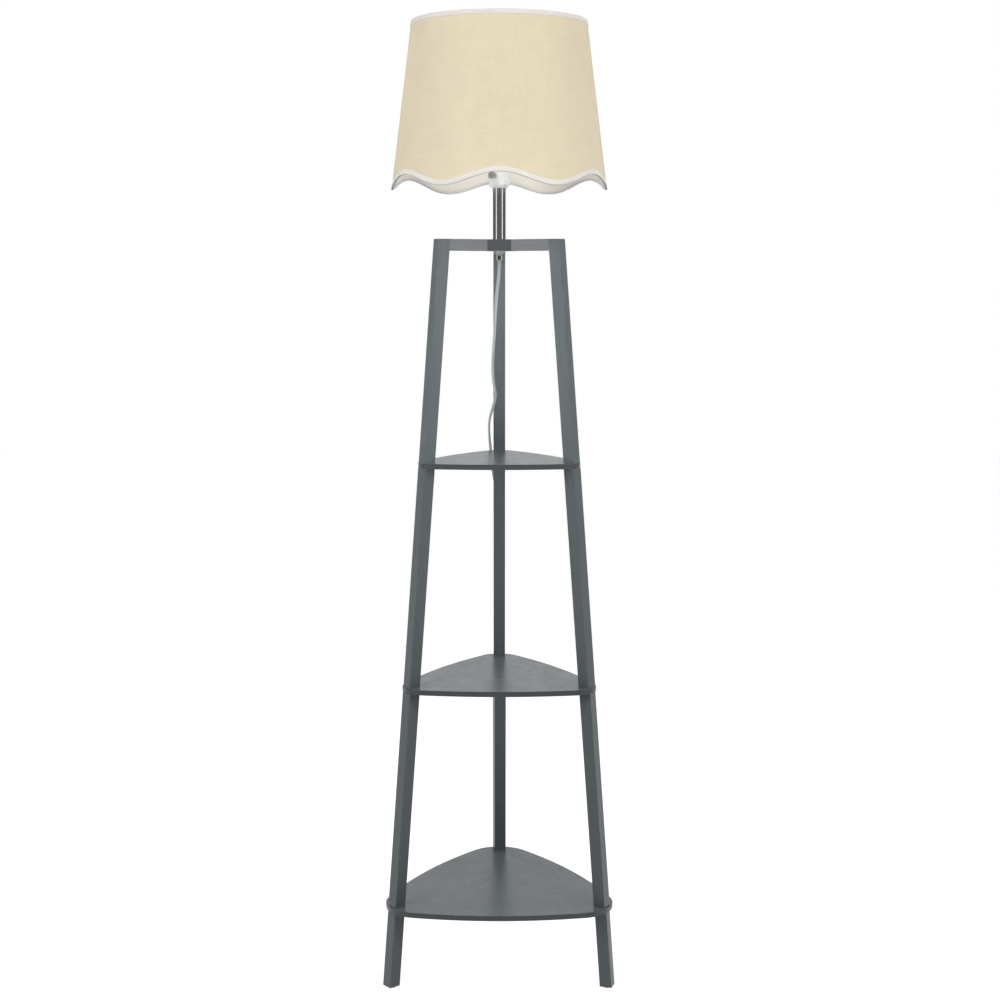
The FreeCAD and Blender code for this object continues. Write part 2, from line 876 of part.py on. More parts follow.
def make_knob():
    """The turn knob on its shaft, with the cam that works the switch."""
    head_start = s.knob_reach - s.knob_head_length
    neck_length = head_start - s.knob_neck_start
    neck = cylinder("knob_neck_part", s.knob_neck, neck_length + s.knob_edge)
    head = cylinder("knob_head_part", s.knob_head, s.knob_head_length)
    bind(head, Placement__Base__z=neck_length)
    soft_head = rounded("knob_soft_head", head, s.knob_edge, lambda edge: len(edge.Vertexes) == 1)
    bore_length = neck_length + s.knob_head_length / 2
    bore = cylinder("knob_bore", s.knob_shaft, bore_length)
    knob = cut("knob", fuse("knob_blank", neck, soft_head), bore)
    piece(placed(knob, knob_frame(s.knob_neck_start)), "knob")
    shaft_length = s.knob_neck_start + bore_length - s.knob_shaft_start
    shaft = knob_cylinder("knob_shaft", s.knob_shaft, s.knob_shaft_start, shaft_length)
    piece(shaft, "knob_shaft")
    cam = pipe("switch_cam", s.cam_radius, s.knob_shaft, s.cam_length)
    piece(placed(cam, knob_frame(s.knob_shaft_start)), "switch_cam")


# Bulb

BULB_TIP = BLOCK_TOP + s.contact_height
BULB_CAP_LOW = BULB_TIP + s.bulb_tip_height
BULB_CAP_TOP = BULB_CAP_LOW + s.bulb_cap_height
COLLAR_TOP = BULB_CAP_TOP + s.bulb_collar_height
GLOBE_CENTRE = BULB_CAP_TOP + s.bulb_globe_centre


def make_bulb():
    tip = raise_to(cylinder("bulb_tip", s.bulb_tip_radius, s.bulb_tip_height), BULB_TIP)
    piece(tip, "bulb_tip")
    inside = s.bulb_cap_radius - s.bulb_cap_wall
    cap = pipe("bulb_screw_cap", s.bulb_cap_radius, inside, s.bulb_cap_height)
    piece(raise_to(cap, BULB_CAP_LOW), "bulb_screw_cap")
    plug = cylinder("bulb_insulator", inside, s.bulb_seat)
    piece(raise_to(plug, BULB_CAP_LOW), "bulb_insulator")
    make_collar(inside)
    make_globe()
    board = cylinder("bulb_led_board", s.bulb_board_radius, s.bulb_board_thickness)
    piece(raise_to(board, COLLAR_TOP), "bulb_led_board")


def make_collar(cap_inside):
    """The moulded housing that stands in the screw cap and carries the globe."""
    outline = [
        (as_size(0), BULB_CAP_LOW + s.bulb_seat),
        (cap_inside, BULB_CAP_LOW + s.bulb_seat),
        (cap_inside, BULB_CAP_TOP),
        (s.bulb_cap_radius, BULB_CAP_TOP),
        (s.bulb_collar_radius, COLLAR_TOP),
        (as_size(0), COLLAR_TOP),
    ]
    piece(turned("bulb_collar", outline), "bulb_collar")


def make_globe():
    """The opal globe: a round top on a cone that narrows to the collar."""
    rise = math.sin(math.radians(s.bulb_shoulder_angle.value))
    spread = math.cos(math.radians(s.bulb_shoulder_angle.value))
    outer = s.bulb_globe_radius
    inner = outer - s.bulb_globe_wall
    outline = [
        (s.bulb_collar_radius - s.bulb_globe_wall, COLLAR_TOP),
        (s.bulb_collar_radius, COLLAR_TOP),
        (outer * spread, GLOBE_CENTRE - outer * rise),
        (outer, GLOBE_CENTRE),
        (as_size(0), GLOBE_CENTRE + outer),
        (as_size(0), GLOBE_CENTRE + inner),
        (inner, GLOBE_CENTRE),
        (inner * spread, GLOBE_CENTRE - inner * rise),
    ]
    arcs = {2: outer, 3: outer, 5: 0 - inner, 6: 0 - inner}
    piece(turned("bulb_globe", outline, arcs), "bulb_globe")


# Shade

SHADE_LOW = BODY_TOP - s.shade_drop
SHADE_TOP = SHADE_LOW + s.shade_height
TAPER = (s.shade_low_radius - s.shade_top_radius) / s.shade_height
HEM_MIDDLE = SHADE_LOW + s.wave_height


def shade_radius(height):
    """The radius of the cloth's outer face at a height."""
    return s.shade_top_radius + TAPER * (SHADE_TOP - as_size(height))


def rim(outward, height, swing):
    """A closed line round the shade, at an offset from the cloth's outer face. It swings up and
    down with the hem's wave, whose crests are at the front and every 60 degrees from there."""
    points = []
    count = WAVES * WAVE_SAMPLES
    for step in range(count):
        angle = 360 * step / count
        level = height.value + swing * math.cos(math.radians(WAVES * (angle - FRONT)))
        radius = shade_radius(level).value + outward.value
        points.append(direction(angle) * radius + Vector(0, 0, level))
    curve = Part.BSplineCurve()
    curve.interpolate(Points=points, Parameters=list(range(count + 1)), PeriodicFlag=True)
    return curve.toShape()


def shade_ring(name, *rims):
    """A ring-shaped skin whose section has the rims as its corners, in order."""
    lines = [rim(*corner) for corner in rims]
    following = lines[1:] + lines[:1]
    faces = [Part.makeRuledSurface(line, after) for line, after in zip(lines, following)]
    shell = Part.makeShell(faces)
    shell.sewShape()
    solid = Part.makeSolid(shell)
    if solid.Volume < 0:
        solid.reverse()
    thing = doc.addObject("Part::Feature", name)
    thing.Shape = solid
    piece(thing, name)


def make_shade():
    """Cloth, lining and the two trims, which wrap the upper rim and the waved hem."""
    cloth_face = as_size(0)
    back_face = cloth_face - s.shade_cloth
    lining_face = back_face - s.lining_gap
    room_face = lining_face - s.shade_lining
    wave = s.wave_height.value
    cloth_low = HEM_MIDDLE + s.trim_thickness + s.trim_gap
    skins = (("shade_shell", cloth_face, back_face), ("shade_lining", lining_face, room_face))
    for name, outer, inner in skins:
        low_rims = ((outer, cloth_low, wave), (inner, cloth_low, wave))
        shade_ring(name, (outer, SHADE_TOP, 0), *low_rims, (inner, SHADE_TOP, 0))
    slot_out = cloth_face + s.trim_gap
    slot_in = room_face - s.trim_gap
    hem_end = HEM_MIDDLE + s.trim_low_width
    hem_floor = HEM_MIDDLE + s.trim_thickness
    shade_tape("shade_trim_low", slot_out, slot_in, HEM_MIDDLE, hem_floor, hem_end, wave)
    rim_end = SHADE_TOP - s.trim_top_width
    rim_floor = SHADE_TOP + s.trim_gap
    shade_tape("shade_trim_top", slot_out, slot_in, rim_floor + s.trim_thickness, rim_floor, rim_end, 0)


def shade_tape(name, slot_out, slot_in, edge, floor, end, wave):
    """A tape folded over an edge of the shade; its slot takes the cloth as deep as its floor."""
    outer = slot_out + s.trim_thickness
    inner = slot_in - s.trim_thickness
    section = (
        (outer, end),
        (outer, edge),
        (inner, edge),
        (inner, end),
        (slot_in, end),
        (slot_in, floor),
        (slot_out, floor),
        (slot_out, end),
    )
    shade_ring(name, *[(offset, height, wave) for offset, height in section])


def wire_place(height):
    """The radius of a wire ring that lies against the lining at a height."""
    lined = s.shade_cloth + s.lining_gap + s.shade_lining
    return shade_radius(height) - lined - s.wire_radius - s.wire_gap


def make_shade_frame():
    """The fitter ring with three spokes to the lower wire ring, and the upper wire ring."""
    top_wire_height = SHADE_TOP - s.top_wire_drop
    trim_room = s.trim_thickness + s.trim_gap
    top_wire = torus("shade_top_ring", wire_place(top_wire_height) - trim_room, s.wire_radius)
    piece(raise_to(top_wire, top_wire_height), "shade_top_ring")
    low_wire_height = SHADE_LOW + s.low_wire_rise
    ring = torus("low_wire_ring", wire_place(low_wire_height), s.wire_radius)
    raise_to(ring, low_wire_height)
    fitter = pipe("fitter_ring", s.fitter_radius, s.neck_radius + s.fitter_gap, s.fitter_thickness)
    raise_to(fitter, BODY_TOP)
    parts = [ring, fitter]
    start = (s.fitter_radius + s.neck_radius) / 2
    drop = (BODY_TOP + s.fitter_thickness / 2 - low_wire_height).value
    run = (wire_place(low_wire_height) - start).value
    for number, angle in enumerate(LEGS.values()):
        spoke = cylinder(f"fitter_spoke_{number}", s.spoke_radius, as_size(math.hypot(run, drop)))
        turn = Rotation(Vector(0, 0, 1), angle)
        turn = turn * Rotation(Vector(0, 1, 0), 90 + math.degrees(math.atan2(drop, run)))
        place = direction(angle) * start.value + Vector(0, 0, low_wire_height.value + drop)
        parts.append(placed(spoke, Placement(place, turn)))
    blank = fuse("shade_frame_blank", *parts)
    seat_height = s.ring_nut_height
    seat = cylinder("ring_nut_seat", s.ring_nut_radius + s.fitter_gap, seat_height)
    raise_to(seat, BODY_TOP + s.fitter_thickness)
    room = cylinder("fitter_room", s.holder_radius + s.fitter_gap, seat_height)
    raise_to(room, BODY_TOP - seat_height)
    bore = cylinder("fitter_bore", s.neck_radius + s.fitter_gap, seat_height)
    raise_to(bore, BODY_TOP)
    piece(cut("shade_frame", blank, seat, room, bore), "shade_frame")
    nut = pipe("shade_ring_nut", s.ring_nut_radius, s.neck_radius, s.ring_nut_height)
    piece(raise_to(nut, BODY_TOP + s.fitter_thickness), "shade_ring_nut")


# Cord clips


def clip_ring_place():
    """The distance of a clip ring's axis from the leg's rear face."""
    return s.clip_plate + s.clip_ring_bore + s.clip_ring_wall - s.clip_sink


def make_clips():
    """The clips and their screws on the rear leg. Returns the screws' pilot holes."""
    clips = []
    screws = []
    pilots = {}
    face = s.leg_width / 2 * math.cos(math.radians(LEAN))
    for section, heights in CLIP_HEIGHTS.items():
        twist = section_twist("rear", section).value
        for height in heights:
            mark = f"{section}_{height}"
            clips.append(clip(mark, height, twist, face))
            for side in (-1, 1):
                offset = Vector(0, 0, side * s.clip_screw_place.value)
                place = leg_frame(LEGS["rear"], height, twist, offset)
                name = f"{mark}_{'high' if side > 0 else 'low'}"
                screws.append(placed(clip_screw(name, face), place))
                pilot = screw_shank(f"screw_pilot_{name}", face)
                pilots.setdefault(("rear", section), []).append(placed(pilot, place * pilot.Placement))
    piece(group("cord_clips", clips), "cord_clips")
    piece(group("clip_screws", screws), "clip_screws")
    return pilots


def clip(mark, height, twist, face):
    """A plate on the leg with a ring that the cord runs through."""
    plate = box(f"clip_plate_{mark}", s.clip_plate, s.clip_width, s.clip_height)
    corner = Vector(face.value, -s.clip_width.value / 2, -s.clip_height.value / 2)
    placed(plate, Placement(corner, Rotation()))
    ring_radius = s.clip_ring_bore + s.clip_ring_wall
    centre = Vector((face + clip_ring_place()).value, 0, -s.clip_ring_height.value / 2)
    ring = cylinder(f"clip_ring_{mark}", ring_radius, s.clip_ring_height)
    bore = cylinder(f"clip_bore_{mark}", s.clip_ring_bore, s.clip_ring_height)
    for round_part in (ring, bore):
        placed(round_part, Placement(centre, Rotation()))
    tools = [bore]
    for side in (-1, 1):
        hole = cylinder(f"clip_hole_{mark}_{side + 1}", s.clip_screw_radius, s.clip_plate * 3)
        shift = Vector(face.value - s.clip_plate.value, 0, side * s.clip_screw_place.value)
        tools.append(placed(hole, Placement(shift, Rotation(Vector(0, 1, 0), 90))))
    thing = cut(f"clip_{mark}", fuse(f"clip_blank_{mark}", plate, ring), *tools)
    return placed(thing, leg_frame(LEGS["rear"], height, twist))


def screw_shank(name, face):
    """The part of a clip screw that passes its plate and sits in the leg."""
    shank = cylinder(name, s.clip_screw_radius, s.clip_screw_depth + s.clip_plate)
    start = Vector((face - s.clip_screw_depth).value, 0, 0)
    return placed(shank, Placement(start, Rotation(Vector(0, 1, 0), 90)))


def clip_screw(name, face):
    """A screw through a clip's plate into the leg."""
    head = cylinder(f"screw_head_{name}", s.clip_screw_head, s.clip_screw_head_height)
    start = Vector((face + s.clip_plate).value, 0, 0)
    placed(head, Placement(start, Rotation(Vector(0, 1, 0), 90)))
    return fuse(f"clip_screw_{name}", screw_shank(f"screw_shank_{name}", face), head)


# Cord


def route_wire(points):
    """Straight runs joined by tangent arcs, each as large as its two runs allow."""
    corners = [Vector(*point) for point in points]
    edges = []
    radii = []
    start = corners[0]
    for before, corner, after in zip(corners, corners[1:], corners[2:]):
        arrive = corner - before
        leave = after - corner
        half_turn = arrive.getAngle(leave) / 2
        tangent = 0.45 * min(arrive.Length, leave.Length)
        radius = tangent / math.tan(half_turn)
        first = corner - Vector(arrive).normalize() * tangent
        last = corner + Vector(leave).normalize() * tangent
        towards = (Vector(leave).normalize() - Vector(arrive).normalize()).normalize()
        middle = corner + towards * (radius / math.cos(half_turn) - radius)
        edges.append(Part.LineSegment(start, first).toShape())
        edges.append(Part.Arc(first, middle, last).toShape())
        radii.append(radius)
        start = last
    edges.append(Part.LineSegment(start, corners[-1]).toShape())
    return Part.Wire(edges), radii


def make_cord():
    path, radii = route_wire(CORD_ROUTE)
    radius = s.cord_width.value / 2
    circle = Part.Wire(Part.makeCircle(radius, Vector(*CORD_ROUTE[0]), Vector(0, 0, -1)))
    tube = path.makePipeShell([circle], True, False)
    thing = doc.addObject("Part::Feature", "cord")
    thing.Shape = tube
    piece(thing, "cord")
    expected = math.pi * radius * radius * path.Length
    print("cord arc radii", [round(number, 1) for number in radii])
    print("cord length", round(path.Length, 1), "volume share", round(tube.Volume / expected, 4))
    lead_length = TUBE_TOP + s.cap_floor - GRIP_LOW
    lead = cylinder("cord_inner", s.cord_width / 2, lead_length)
    piece(raise_to(lead, GRIP_LOW), "cord_inner")


def coil_centre():
    """The cord joins the coil's outer turn along its tangent."""
    outer_turn = s.coil_radius + s.cord_width * (s.coil_columns - 1) / 2
    end = Vector(*CORD_ROUTE[-1])
    return Vector(end.x + outer_turn.value, end.y, 0)


def coil_top():
    return s.cord_width * s.coil_rows


def make_coil():
    half = s.cord_width * s.coil_columns / 2
    ring = pipe("cord_coil", s.coil_radius + half, s.coil_radius - half, coil_top())
    piece(placed(ring, Placement(coil_centre(), Rotation())), "cord_coil")


def make_plug():
    """The plug lies across the coil's top; its tail takes the cord."""
    block = box("plug_block", s.plug_length, s.plug_width, s.plug_thickness)
    corner = Vector(-s.plug_length.value / 2, -s.plug_width.value / 2, 0)
    placed(block, Placement(corner, Rotation()))
    soft = rounded("plug_soft_block", block, s.plug_edge, lambda edge: True)
    tail = cone("plug_tail", s.plug_tail_narrow, s.plug_tail_wide, s.plug_tail_length + s.plug_edge)
    tail_start = Vector(-(s.plug_length / 2 + s.plug_tail_length).value, 0, s.plug_thickness.value / 2)
    placed(tail, Placement(tail_start, Rotation(Vector(0, 1, 0), 90)))
    body = fuse("plug_body", soft, tail)
    blades = []
    for side in (-1, 1):
        blade = box(f"plug_blade_{side + 1}", s.blade_length, s.blade_thickness, s.blade_width)
        aside = side * s.blade_pitch.value / 2 - s.blade_thickness.value / 2
        height = (s.plug_thickness - s.blade_width).value / 2
        blades.append(placed(blade, Placement(Vector(s.plug_length.value / 2, aside, height), Rotation())))
    turn = Rotation(Vector(0, 0, 1), s.plug_angle.value)
    shift = turn.multVec(Vector(s.plug_forward.value, s.plug_aside.value, 0))
    place = Placement(coil_centre() + shift + Vector(0, 0, coil_top().value), turn)
    piece(placed(body, place), "plug_body")
    piece(placed(group("plug_blades", blades), place), "plug_blades")


def write_pieces():
    """Checks every object and writes one file for each piece."""
    doc.recompute()
    for thing in doc.Objects:
        if "Invalid" in thing.State or "Error" in thing.State:
            raise RuntimeError(f"{thing.Name} failed: {thing.State}")
    os.makedirs("parts", exist_ok=True)
    for thing in pieces:
        shape = thing.Shape
        if shape.isNull() or not shape.isValid() or shape.Volume <= 0:
            raise RuntimeError(f"{thing.Label} has no valid shape")
        shape.exportStep(f"parts/{thing.Label}.step")
    print(len(pieces), "pieces")


joint_bores = make_joints()
arm_bores, leg_dowel_bores = make_arms()
clip_pilots = make_clips()
make_legs(joint_bores, leg_dowel_bores, clip_pilots)
make_foot_pads()
for shelf_name in SHELVES:
    make_shelf(shelf_name, joint_bores)
make_hub(arm_bores)
make_stem()
make_grip()
make_holder_cap()
make_holder_body()
make_switch()
make_knob()
make_bulb()
make_shade()
make_shade_frame()
make_cord()
make_coil()
make_plug()
write_pieces()
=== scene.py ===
import math

import bmesh
import bpy
from mathutils import Matrix, Vector, noise


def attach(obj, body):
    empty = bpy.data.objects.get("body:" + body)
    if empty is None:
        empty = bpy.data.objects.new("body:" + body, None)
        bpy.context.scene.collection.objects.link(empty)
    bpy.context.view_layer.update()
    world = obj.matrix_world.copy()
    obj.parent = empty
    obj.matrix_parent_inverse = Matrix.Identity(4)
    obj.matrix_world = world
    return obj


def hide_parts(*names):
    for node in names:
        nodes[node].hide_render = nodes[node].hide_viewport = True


# Shelf floor lamp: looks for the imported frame. Metres, +Z up, the front towards -Y.

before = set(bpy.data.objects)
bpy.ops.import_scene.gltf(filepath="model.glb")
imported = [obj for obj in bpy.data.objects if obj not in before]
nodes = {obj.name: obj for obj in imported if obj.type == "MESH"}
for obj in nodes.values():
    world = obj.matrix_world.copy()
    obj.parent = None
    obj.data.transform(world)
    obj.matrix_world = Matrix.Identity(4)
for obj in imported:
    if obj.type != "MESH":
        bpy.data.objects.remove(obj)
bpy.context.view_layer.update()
MM = 0.001  # routes and profiles below are in millimetres

# Camera

camera = bpy.data.objects.new("camera", bpy.data.cameras.new("camera"))
bpy.context.scene.collection.objects.link(camera)
camera.location = (0, -2.9481, 1.1831)
camera.rotation_euler = (math.radians(90 - 7.168), 0, 0)
camera.data.sensor_width = 36
camera.data.lens = 63.42
camera.data.shift_x = 0.0007
bpy.context.scene.camera = camera
bpy.context.scene.view_settings.view_transform = "Standard"


# Small tools


def link(obj):
    bpy.context.scene.collection.objects.link(obj)
    return obj


def mesh_object(name, verts, faces, uvs=None, smooth=True):
    """A mesh object; uvs gives one pair for each vertex."""
    mesh = bpy.data.meshes.new(name)
    mesh.from_pydata(verts, [], faces)
    if uvs:
        layer = mesh.uv_layers.new(name="UVMap")
        for loop in mesh.loops:
            layer.data[loop.index].uv = uvs[loop.vertex_index]
    mesh.polygons.foreach_set("use_smooth", [smooth] * len(mesh.polygons))
    mesh.update()
    return link(bpy.data.objects.new(name, mesh))


def dress(obj, material, *replaced, slot=None, body="lamp"):
    """Gives a piece its material and its body, and hides the solids that it stands for. The slot is not used."""
    obj.data.materials.clear()
    obj.data.materials.append(material)
    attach(obj, body)
    if replaced:
        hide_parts(*replaced)
    return obj


def smoothstep(x):
    x = min(max(x, 0), 1)
    return x * x * (3 - 2 * x)


def polar(radius, degrees, z=0.0):
    return Vector((radius * math.cos(math.radians(degrees)), radius * math.sin(math.radians(degrees)), z))


# Materials


class Shader:
    """A material with a Principled shader and short ways to feed it."""

    def __init__(self, name, color, rough, **sockets):
        self.material = bpy.data.materials.new(name)
        self.material.use_nodes = True
        self.tree = self.material.node_tree
        self.surface = self.tree.nodes["Principled BSDF"]
        self.color = (*color, 1)
        self.surface.inputs["Base Color"].default_value = self.color
        self.surface.inputs["Roughness"].default_value = rough
        for socket, value in sockets.items():
            self.surface.inputs[socket.replace("_", " ")].default_value = value

    def add(self, kind, inputs=None, **settings):
        node = self.tree.nodes.new(kind)
        for name, value in settings.items():
            setattr(node, name, value)
        for socket, value in (inputs or {}).items():
            if isinstance(value, bpy.types.NodeSocket):
                self.tree.links.new(value, node.inputs[socket])
            else:
                node.inputs[socket].default_value = value
        return node

    def coordinates(self, kind="Object", scale=(1, 1, 1), turn=0.0):
        source = self.add("ShaderNodeTexCoord").outputs[kind]
        rotation = (0, 0, math.radians(turn))
        turned = self.add("ShaderNodeMapping", {"Vector": source, "Rotation": rotation})
        return self.add("ShaderNodeMapping", {"Vector": turned.outputs[0], "Scale": scale}).outputs[0]

    def noise(self, where, scale, detail=3.0, rough=0.5):
        values = {"Vector": where, "Scale": scale, "Detail": detail, "Roughness": rough}
        return self.add("ShaderNodeTexNoise", values).outputs[0]

    def math(self, operation, first, second=0.0):
        return self.add("ShaderNodeMath", {0: first, 1: second}, operation=operation).outputs[0]

    def spread(self, value, low, high, new_low=0.0, new_high=1.0):
        inputs = {"Value": value, "From Min": low, "From Max": high, "To Min": new_low, "To Max": new_high}
        return self.add("ShaderNodeMapRange", inputs).outputs[0]

    def shade(self, factor, low, high):
        """Multiplies the colour by a number that the factor moves from low to high."""
        amount = self.spread(factor, 0.3, 0.7, low, high)
        source = self.surface.inputs["Base Color"]
        before = source.links[0].from_socket if source.links else self.color[:3]
        scaled = self.add("ShaderNodeVectorMath", {0: before, 3: amount}, operation="SCALE")
        self.tree.links.new(scaled.outputs[0], source)

    def tint(self, factor, color):
        """Mixes another colour over the colour so far."""
        source = self.surface.inputs["Base Color"]
        before = source.links[0].from_socket if source.links else self.color
        mix = self.add("ShaderNodeMix", {0: factor, 6: before, 7: (*color, 1)}, data_type="RGBA")
        self.tree.links.new(mix.outputs[2], source)

    def roughen(self, factor, low, high):
        self.tree.links.new(self.spread(factor, 0.3, 0.7, low, high), self.surface.inputs["Roughness"])

    def bump(self, height, distance, strength=1.0):
        socket = self.surface.inputs["Normal"]
        inputs = {"Height": height, "Distance": distance, "Strength": strength}
        if socket.links:
            inputs["Normal"] = socket.links[0].from_socket
        self.tree.links.new(self.add("ShaderNodeBump", inputs).outputs[0], socket)

    def edges(self, radius):
        """0 on flat faces, up to 1 along the edges."""
        soft = self.add("ShaderNodeBevel", {"Radius": radius}, samples=4).outputs[0]
        normal = self.add("ShaderNodeNewGeometry").outputs["Normal"]
        dot = self.add("ShaderNodeVectorMath", {0: soft, 1: normal}, operation="DOT_PRODUCT").outputs["Value"]
        return self.spread(dot, 0.995, 0.85)


PAINT = (0.112, 0.134, 0.142)
# Arm colour: the slate paint made lighter, painted light. Hub colour: the same paint made darker, painted shade.
ARM_PAINT_LIT = (0.178, 0.190, 0.200)
HUB_PAINT_SHADED = (0.069, 0.074, 0.080)
# Painted shade: the darker colour of the shelves' upright faces
RIM_SHADE = (0.055, 0.062, 0.068)
WORN = (0.26, 0.285, 0.29)
# Painted shade: the dark line along the edges of the arms and hub
ARRIS_SHADE = (0.035, 0.040, 0.043)
TRIM = (0.825, 0.787, 0.742)


def paint(name, stretch, turn=0.0, grain=1.0, color=PAINT, rim_shade_color=None, rough=0.43, edge_wear_or_shade_color=WORN):
    """Satin slate paint on wood, its grain showing faintly. A rim colour goes on the upright faces as painted
    shade, and such a board has no worn edges. On other boards the edges get an edge colour: light for real wear,
    dark for painted shade."""
    shader = Shader(name, color, rough)
    # Painted shade on the upright faces, found from how level the true normal is
    if rim_shade_color:
        facing = shader.add("ShaderNodeNewGeometry").outputs["True Normal"]
        level = shader.add("ShaderNodeSeparateXYZ", {0: facing}).outputs["Z"]
        shader.tint(shader.spread(shader.math("ABSOLUTE", level), 0.75, 0.45), rim_shade_color)
    fibre = shader.noise(shader.coordinates(scale=stretch, turn=turn), 1.0, 4.0, 0.6)
    cloud = shader.noise(shader.coordinates(), 9.0, 2.0)
    shader.shade(fibre, 1 - 0.07 * grain, 1 + 0.07 * grain)
    shader.shade(cloud, 0.97, 1.03)
    if not rim_shade_color:
        # Edge colour: real wear with the light default colour, painted shade with the dark arris colour
        edge_wear_or_shade = shader.math("MULTIPLY", shader.edges(0.0012), shader.spread(cloud, 0.35, 0.65, 0.1, 0.5))
        shader.tint(edge_wear_or_shade, edge_wear_or_shade_color)
    shader.roughen(fibre, rough - 0.05, rough + 0.05)
    shader.bump(fibre, 0.00012 * grain)
    shader.bump(shader.noise(shader.coordinates(), 900.0, 2.0), 0.00002 * grain)
    return shader.material


def bare_wood(name):
    """Unpainted beech with its short dark flecks."""
    shader = Shader(name, (0.62, 0.47, 0.30), 0.6)
    fibre = shader.noise(shader.coordinates(scale=(500, 500, 40)), 1.0, 4.0, 0.6)
    shader.shade(fibre, 0.9, 1.06)
    shader.bump(fibre, 0.0001)
    return shader.material


def metal(name, color, rough, marks=0.04, dents=0.000008):
    """Metal with faint smears along its height."""
    shader = Shader(name, color, rough, Metallic=1.0)
    smear = shader.noise(shader.coordinates(scale=(1, 1, 0.25)), 160.0, 4.0, 0.65)
    shader.shade(smear, 1 - marks, 1 + marks)
    shader.roughen(smear, rough * (1 - marks * 3), rough * (1 + marks * 4))
    shader.bump(smear, dents)
    return shader.material


def plastic(name, color, rough, grain=0.00002, **sockets):
    """Moulded plastic, faintly mottled."""
    shader = Shader(name, color, rough, **sockets)
    mottled = shader.noise(shader.coordinates(), 140.0, 3.0)
    shader.shade(mottled, 0.98, 1.02)
    shader.roughen(mottled, max(rough - 0.05, 0.03), rough + 0.05)
    shader.bump(shader.noise(shader.coordinates(), 1500.0, 2.0), grain)
    return shader.material


def grip_plastic(name):
    """Clear plastic with a painted shadow round the wedge in its front."""
    wedge_height = 1.2169
    shader = Shader(name, (0.80, 0.80, 0.78), 0.24, Transmission_Weight=0.35, IOR=1.49)
    parts = shader.add("ShaderNodeSeparateXYZ", {0: shader.coordinates()}).outputs
    beside = shader.spread(shader.math("ABSOLUTE", parts[0]), 0.0028, 0.0024)
    off_centre = shader.math("SUBTRACT", parts[2], wedge_height)
    above = shader.spread(shader.math("ABSOLUTE", off_centre), 0.0037, 0.0033)
    ahead = shader.spread(parts[1], -0.0025, -0.003)
    painted_shadow = shader.math("MULTIPLY", shader.math("MULTIPLY", beside, above), ahead)
    # Painted shadow round the wedge, tinted near black
    shader.tint(painted_shadow, (0.01, 0.01, 0.01))
    shader.bump(shader.noise(shader.coordinates(), 1500.0, 2.0), 0.00002)
    return shader.material


def cloth(name, color, pitch, contrast, slub, sheen=0.15, sheer=0.0, fold_shade_width=0.0):
    """Plain weave in UV metres, with thick and thin stretches in its threads. Light passes through a sheer one.
    fold_shade_width is the width of a painted shade line along the edge where v is 0, standing for the shade
    under a tape's fold."""
    thread = 620
    shader = Shader(name, color, 0.9, Sheen_Weight=sheen, Sheen_Roughness=0.6)
    shader.surface.inputs["Specular IOR Level"].default_value = 0.25
    weft = shader.noise(shader.coordinates("UV", (28, thread, 1)), 1.0, 3.0, 0.6)
    warp = shader.noise(shader.coordinates("UV", (thread, 22, 1)), 1.0, 3.0, 0.6)
    patch = shader.noise(shader.coordinates("UV", (30, 30, 1)), 1.0, 2.0)
    shader.shade(weft, 1 - contrast, 1 + contrast)
    shader.shade(warp, 1 - contrast * 0.7, 1 + contrast * 0.7)
    shader.shade(patch, 0.985, 1.015)
    parts = shader.add("ShaderNodeSeparateXYZ", {0: shader.coordinates("UV")}).outputs
    rate = 2 * math.pi / pitch
    across = shader.math("SINE", shader.math("MULTIPLY", parts[0], rate))
    upward = shader.math("SINE", shader.math("MULTIPLY", parts[1], rate))
    weave = shader.math("MULTIPLY", across, upward)
    shader.bump(weave, 0.00012)
    shader.bump(shader.math("ADD", weft, warp), slub)
    if fold_shade_width:
        # Painted shade: a grey line along the folded edge
        shader.tint(shader.spread(parts[1], fold_shade_width, fold_shade_width * 0.5), (0.46, 0.47, 0.47))
    if sheer:
        ray = shader.add("ShaderNodeLightPath").outputs
        light = shader.math("MAXIMUM", ray["Is Shadow Ray"], ray["Is Diffuse Ray"])
        solid = shader.math("SUBTRACT", 1.0, shader.math("MULTIPLY", light, sheer))
        shader.tree.links.new(solid, shader.surface.inputs["Alpha"])
    return shader.material


